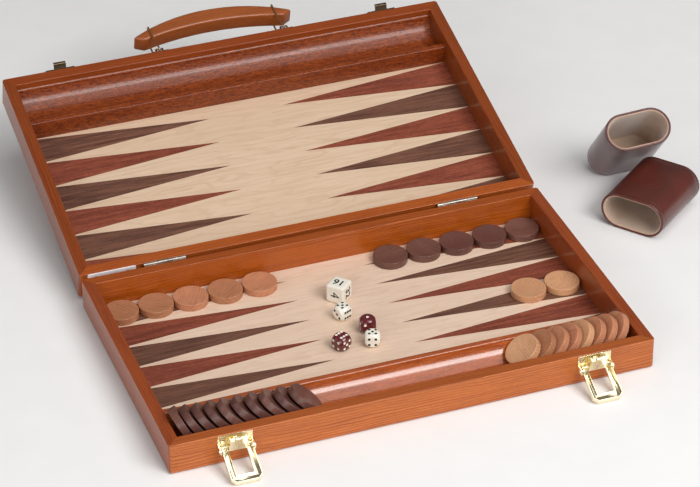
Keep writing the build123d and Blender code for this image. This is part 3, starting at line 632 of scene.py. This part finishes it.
def carved(name, bm, cutter, materials):
    """A blank cut by the cutter's bmesh, whose faces take the second material."""
    body_mesh = bpy.data.meshes.new(name + "_blank")
    bm.to_mesh(body_mesh)
    bm.free()
    cut_mesh = bpy.data.meshes.new(name + "_cutter")
    cutter.to_mesh(cut_mesh)
    cutter.free()
    blank = bpy.data.objects.new(name + "_blank", body_mesh)
    knife = bpy.data.objects.new(name + "_cutter", cut_mesh)
    for obj in (blank, knife):
        scene.collection.objects.link(obj)
    body_mesh.materials.append(materials[0])
    cut_mesh.materials.append(materials[1])
    boolean = blank.modifiers.new("cut", "BOOLEAN")
    boolean.operation = "DIFFERENCE"
    boolean.object = knife
    boolean.solver = "EXACT"
    boolean.use_self = True
    boolean.material_mode = "TRANSFER"
    graph = bpy.context.evaluated_depsgraph_get()
    mesh = bpy.data.meshes.new_from_object(blank.evaluated_get(graph))
    mesh.name = name
    bpy.data.objects.remove(blank)
    bpy.data.objects.remove(knife)
    return mesh


PIPS = {
    1: ((0, 0),),
    2: ((-1, 1), (1, -1)),
    3: ((-1, -1), (0, 0), (1, 1)),
    4: ((-1, -1), (-1, 1), (1, -1), (1, 1)),
    5: ((-1, -1), (-1, 1), (0, 0), (1, -1), (1, 1)),
    6: ((-1, -1), (0, -1), (1, -1), (-1, 1), (0, 1), (1, 1)),
}
# the axis that each number's face looks along, and which way
FACES = {1: ("Z", 1), 2: ("Y", -1), 3: ("X", 1), 4: ("X", -1), 5: ("Y", 1), 6: ("Z", -1)}
AXIS = {"X": Vector((1, 0, 0)), "Y": Vector((0, 1, 0)), "Z": Vector((0, 0, 1))}


def face_frame(number):
    """A numbered face's outward direction, and its own right and up."""
    axis, sign = FACES[number]
    out = AXIS[axis] * sign
    right = AXIS["X"] if axis != "X" else AXIS["Y"]
    return out, right, out.cross(right)


def die_mesh(name, side, ball, pip_r, spread, materials):
    """A die whose pips, spread mm apart, are hollows left by balls that stand partly off its faces."""
    cutter = bmesh.new()
    stand_off, cutter_r = pip_r * 0.55, pip_r * 1.14
    for number, spots in PIPS.items():
        out, right, up = face_frame(number)
        for a, b in spots:
            middle = (out * (side / 2 + stand_off) + right * a * spread + up * b * spread) * MM
            bmesh.ops.create_uvsphere(cutter, u_segments=20, v_segments=12, radius=cutter_r * MM,
                                      matrix=Matrix.Translation(middle))
    return carved(name, ball_cube(side, ball, 0.5), cutter, materials)


def turned(top, front):
    """The turn that puts one number on top and another to the front (towards -Y)."""
    up, towards = face_frame(top)[0], face_frame(front)[0]
    rows = Matrix((towards.cross(up) * -1, towards * -1, up))
    return rows.to_4x4()


ivory_pair = [IVORY, IVORY_BLACK]
red_pair = [RED, RED_WHITE]
WHITE_DIE = {"side": 14.2, "ball": 8.9, "pip_r": 1.35, "spread": 3.05, "materials": ivory_pair}
RED_DIE = {"side": 14.7, "ball": 9.2, "pip_r": 1.4, "spread": 3.3, "materials": red_pair}
for node, slot, kind, top, front, turn_deg in (
    ("white_die_1", "ivory", WHITE_DIE, 5, 6, 25),
    ("white_die_2", "ivory", WHITE_DIE, 5, 4, -20),
    ("red_die_1", "red_die", RED_DIE, 6, 5, 25),
    ("red_die_2", "red_die", RED_DIE, 1, 2, -10),
):
    spin = Matrix.Rotation(math.radians(turn_deg), 4, "Z")
    place = Matrix.Translation(middle_of(node)) @ spin @ turned(top, front)
    name = node + "_carved"
    placed(name, die_mesh(name, **kind), kind["materials"], node + "_body", [node], place,
           smooth_deg=32)


def cube_cutter(side, size_mm, words):
    """Block numbers set into each face, as one bmesh."""
    cutter = bmesh.new()
    for (out, right), text in words.items():
        out, right = Vector(out), Vector(right)
        curve = bpy.data.curves.new("number", "FONT")
        curve.body = text
        curve.size = size_mm * (1.0 if len(text) == 1 else 0.86)
        curve.align_x = "CENTER"
        curve.align_y = "CENTER"
        curve.extrude = 0.35
        curve.offset = 0.0 if "4" in text else 0.25  # a thickened 4 would cross its own outline
        curve.resolution_u = 4
        obj = bpy.data.objects.new("number", curve)
        scene.collection.objects.link(obj)
        mesh = bpy.data.meshes.new_from_object(obj.evaluated_get(bpy.context.evaluated_depsgraph_get()))
        bpy.data.objects.remove(obj)
        up = out.cross(right)
        turn = Matrix((right, up, out)).transposed().to_4x4()
        mesh.transform(Matrix.Scale(MM, 4) @ Matrix.Translation(out * (side / 2 + 0.1)) @ turn)
        part = bmesh.new()
        part.from_mesh(mesh)
        bmesh.ops.remove_doubles(part, verts=part.verts, dist=1e-7)
        part.to_mesh(mesh)
        part.free()
        cutter.from_mesh(mesh)
    return cutter


CUBE, CUBE_EDGE, FIGURE = 18.4, 2.0, 13.2
# what each face says, by its outward direction and the way that the text runs
cube_words = {
    ((0, 0, 1), (0, 1, 0)): "16",
    ((0, -1, 0), (0, 0, -1)): "32",
    ((-1, 0, 0), (0, 0, -1)): "4",
    ((1, 0, 0), (0, 1, 0)): "8",
    ((0, 1, 0), (-1, 0, 0)): "2",
    ((0, 0, -1), (1, 0, 0)): "64",
}
cube_mesh = carved("cube", rounded_cube(CUBE, CUBE_EDGE), cube_cutter(CUBE, FIGURE, cube_words), ivory_pair)
cube_place = Matrix.Translation(middle_of("doubling_cube")) @ Matrix.Rotation(math.radians(42), 4, "Z")
placed("doubling_cube_numbered", cube_mesh, ivory_pair, "doubling_cube_body", ["doubling_cube"], cube_place,
       smooth_deg=32)


# ------------------------------------------------------------------ troughs
# in a tray's frame (mm): the block's inner face, its top, and the round cove whose centre is COVE_DROP below the rim
DIVIDER_FACE, TOP = 213.9, RIM - 6.8
COVE_CENTRE, COVE_R, COVE_DROP = 241.6, 22.6, 0.45
EASE, EASE_ANGLE = 0.8, 0.035
HALF_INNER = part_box("near_trough")[1].x / MM - SLACK
OUTER_IN = WALL_OUT - RAIL - SLACK
COVE_STEPS, STATIONS = 60, 24


def trough(node, body, place, material):
    """A milled block with one round cove along it and eased edges."""
    rise = RIM - COVE_DROP - TOP
    edge = COVE_CENTRE - math.sqrt(COVE_R ** 2 - rise ** 2)
    profile = [(DIVIDER_FACE, BOARD), (DIVIDER_FACE, TOP - EASE)]
    for k in range(1, 5):
        a = math.radians(90 - 22.5 * k)
        profile.append((DIVIDER_FACE + EASE * (1 - math.sin(a)), TOP - EASE * (1 - math.cos(a))))
    profile.append((edge - EASE, TOP))
    profile.append((edge - EASE * 0.3, TOP - EASE * 0.12))
    first = math.asin(rise / COVE_R) + EASE_ANGLE
    for k in range(COVE_STEPS + 1):
        a = math.pi + first + (math.pi - 2 * first) * k / COVE_STEPS
        profile.append((COVE_CENTRE + COVE_R * math.cos(a), RIM - COVE_DROP + COVE_R * math.sin(a)))
    profile = [p for p in profile if p[0] <= OUTER_IN] + [(OUTER_IN, TOP), (OUTER_IN, BOARD)]
    bm = bmesh.new()
    stations = [-HALF_INNER + 2 * HALF_INNER * k / STATIONS for k in range(STATIONS + 1)]
    rings = [[bm.verts.new((x * MM, y * MM, z * MM)) for y, z in profile] for x in stations]
    for a, b in zip(rings, rings[1:]):
        for k in range(len(profile)):
            n = (k + 1) % len(profile)
            bm.faces.new((a[k], a[n], b[n], b[k]))
    bm.faces.new(rings[0])
    bm.faces.new(list(reversed(rings[-1])))
    finished(node + "_milled", bm, [material], body, [node], place, smooth_deg=50)


trough("near_trough", "near_half", near_place,
       trough_wood("trough_near", (0, 0, 0), srgb(196, 100, 46), srgb(108, 42, 14), 0.35, 0.17, 0.9))
# painted shade: the far trough's colours are a darker copy of the near trough's, standing in for the lesser light on
# the far half
trough("far_trough", "far_half", far_place,
       trough_wood("trough_far", (0.3, 0.1, 0), srgb(162, 76, 24), srgb(92, 32, 8), 0.9, 0.34, 0.3, 0.12))


# ------------------------------------------------------------------ cups
CUP_W, CUP_D, CUP_L = 67.1, 38.3, 81.0


ARC_STEPS = 28


def stadium_ring(bm, inset, z):
    """One ring of the cup's flattened round outline, drawn in by inset, at height z (mm)."""
    r = CUP_D / 2 - inset
    straight = (CUP_W - CUP_D) / 2
    outline = []
    for side in (1, -1):
        for k in range(ARC_STEPS + 1):
            a = math.radians(-90 * side + 180 * k / ARC_STEPS)
            outline.append((side * straight + r * math.cos(a), r * math.sin(a)))
        for k in range(1, 8):
            outline.append((side * straight * (1 - k / 4), side * r))
    return [bm.verts.new((x * MM, y * MM, z * MM)) for x, y in outline]


def tube(profile):
    """A closed solid through one ring for each (inset, height) pair."""
    bm = bmesh.new()
    rings = [stadium_ring(bm, inset, z) for inset, z in profile]
    for a, b in zip(rings, rings[1:]):
        for k in range(len(a)):
            n = (k + 1) % len(a)
            bm.faces.new((a[k], a[n], b[n], b[k]))
    bm.faces.new(list(reversed(rings[0])))
    bm.faces.new(rings[-1])
    return bm


def cup(name, leather_mat, place):
    """A leather-covered cup with a rolled rim, a base disc and a separate napped lining."""
    outside = [(6.0, 0.0), (1.7, 0.0), (1.1, 0.12), (0.5, 0.5), (0.12, 1.1), (0.0, 1.8)]
    outside += [(0.0, 2.6), (0.22, 2.9), (0.22, 3.2), (0.0, 3.5)]
    outside += [(0.12 * math.sin(math.pi * k / 12), 3.5 + (CUP_L - 9.0) * k / 12) for k in range(1, 13)]
    outside += [(0.0, CUP_L - 5.2), (0.18, CUP_L - 4.9), (0.18, CUP_L - 4.6), (0.0, CUP_L - 4.3),
                (0.0, CUP_L - 1.3), (0.14, CUP_L - 0.75), (0.5, CUP_L - 0.3), (1.0, CUP_L - 0.08), (1.45, CUP_L),
                (1.9, CUP_L - 0.12), (2.1, CUP_L - 0.5), (2.12, 3.2)]
    finished(f"{name}_shell_leather", tube(outside), [leather_mat], name, [f"{name}_shell"], place,
             smooth_deg=50)
    inside = [(2.12, 3.0), (2.12, CUP_L - 1.6), (2.2, CUP_L - 0.9), (2.5, CUP_L - 0.55), (3.0, CUP_L - 0.6),
              (3.35, CUP_L - 1.1), (3.5, CUP_L - 2.0)]
    inside += [(3.5 + 0.15 * math.sin(1.7 * k), CUP_L - 2.0 - (CUP_L - 8.5) * k / 9) for k in range(1, 10)]
    inside += [(3.6, 5.6), (4.1, 4.7), (5.2, 4.4), (9.0, 4.4)]
    bm = tube(inside)
    for face in bm.faces:
        if min(v.co.z for v in face.verts) > (CUP_L - 1.7) * MM:
            face.material_index = 1
    finished(f"{name}_lining_cloth", bm, [LINING, LIP], name, [f"{name}_lining"], place, smooth_deg=60)


def axes_place(origin, x_dir, z_dir):
    """The place with its origin at a point (mm), its z along z_dir and its x as near to x_dir as it can be."""
    z = Vector(z_dir).normalized()
    x = (Vector(x_dir) - z * Vector(x_dir).dot(z)).normalized()
    turn = Matrix((x, z.cross(x), z)).transposed().to_4x4()
    return Matrix.Translation(Vector(origin) * MM) @ turn


YAW = math.radians(218.4)  # the way that the front cup's mouth looks
cup("front_cup", LEATHER_FRONT,
    axes_place((366.4, 124.5, CUP_D / 2), (-math.sin(YAW), math.cos(YAW), 0), (math.cos(YAW), math.sin(YAW), 0)))
cup("rear_cup", LEATHER_REAR, axes_place((342.0, 188.9, 13.7), (1.0, -0.04, 0.07), (-0.08, -0.65, 0.75)))


# ------------------------------------------------------------------ handle
GRIP_DROP, GRIP_HEIGHT, GRIP_ROUND = 7.3, 17.0, 2.6
INNER_HALF, OUTER_HALF, GRIP_STEPS = 74.0, 84.5, 44


def arc(half, end, mid, x):
    """How far an arc stands off the wall at x, when it stands end off at both ends and mid in its middle."""
    radius = (half ** 2 + (mid - end) ** 2) / (2 * (mid - end))
    return mid - radius + math.sqrt(radius ** 2 - x ** 2)


def grip(material):
    """The curved wooden grip: two arcs in plan, with well rounded long edges and blunt ends."""
    inner = [-INNER_HALF + 2 * INNER_HALF * k / GRIP_STEPS for k in range(GRIP_STEPS + 1)]
    outer = [OUTER_HALF - 2 * OUTER_HALF * k / GRIP_STEPS for k in range(GRIP_STEPS + 1)]
    outline = [(x, WALL_OUT + arc(INNER_HALF, 26.7, 36.6, x)) for x in inner]
    outline += [(x, WALL_OUT + arc(OUTER_HALF, 32.8, 55.3, x)) for x in outer]
    bm = bmesh.new()
    low = RIM - GRIP_DROP - GRIP_HEIGHT
    bottom = bm.faces.new([bm.verts.new((x * MM, y * MM, low * MM)) for x, y in outline])
    moved = bmesh.ops.extrude_face_region(bm, geom=[bottom])
    for v in moved["geom"]:
        if isinstance(v, bmesh.types.BMVert):
            v.co.z += GRIP_HEIGHT * MM
    bmesh.ops.recalc_face_normals(bm, faces=bm.faces)
    sharp = [e for e in bm.edges if e.is_manifold and e.calc_face_angle() > math.radians(30)]
    bmesh.ops.bevel(bm, geom=sharp, offset=GRIP_ROUND * MM, segments=5, profile=0.5, affect="EDGES",
                    clamp_overlap=True)
    bmesh.ops.triangulate(bm, faces=[f for f in bm.faces if len(f.verts) > 8])
    finished("handle_grip_shaped", bm, [material], "handle", ["handle_grip"], far_place, smooth_deg=40)


grip(wood("grip_wood", srgb(176, 96, 46), srgb(116, 54, 20), srgb(80, 32, 12), 0, None, 2.4, 0.5, roughness=0.28,
          fleck=0.15))


# ------------------------------------------------------------------ metalwork
for part, material, ease_mm in (
    ("latch_plate", BRASS_PLATE, 0.25),
    ("latch_lever", BRASS, 0.3),
    ("latch_claw", BRASS_PLATE, 0.3),
    ("catch", BRASS_DARK, 0.2),
):
    for side in ("left", "right"):
        softened(f"{side}_{part}", material, ease_mm)
softened("handle_brackets", BRASS_DARK, 0.15)
for tray in ("near", "far"):
    for side in ("left", "right"):
        softened(f"{side}_hinge_{tray}_leaf", HINGE, 0.15)
softened("far_seam_plate", SEAM_PAINTED_BRIGHT, 0.15)

# ------------------------------------------------------------------ floor
bm = bmesh.new()
bmesh.ops.create_grid(bm, x_segments=40, y_segments=40, size=6.0)
floor_mesh = bpy.data.meshes.new("floor")
bm.to_mesh(floor_mesh)
bm.free()
floor = bpy.data.objects.new("floor", floor_mesh)
scene.collection.objects.link(floor)
paper = Shader("paper_sweep", roughness=0.8)
grain = paper.noise(paper.coords((40, 40, 40)), 2.0, 0.5)
paper.colour(paper.mix(paper.grey(grain, 0.3, 0.7, 0, 1), (0.9, 0.9, 0.9, 1), (0.88, 0.88, 0.88, 1)))
floor.data.materials.append(paper.finish())
floor.location.z = -0.2 * MM
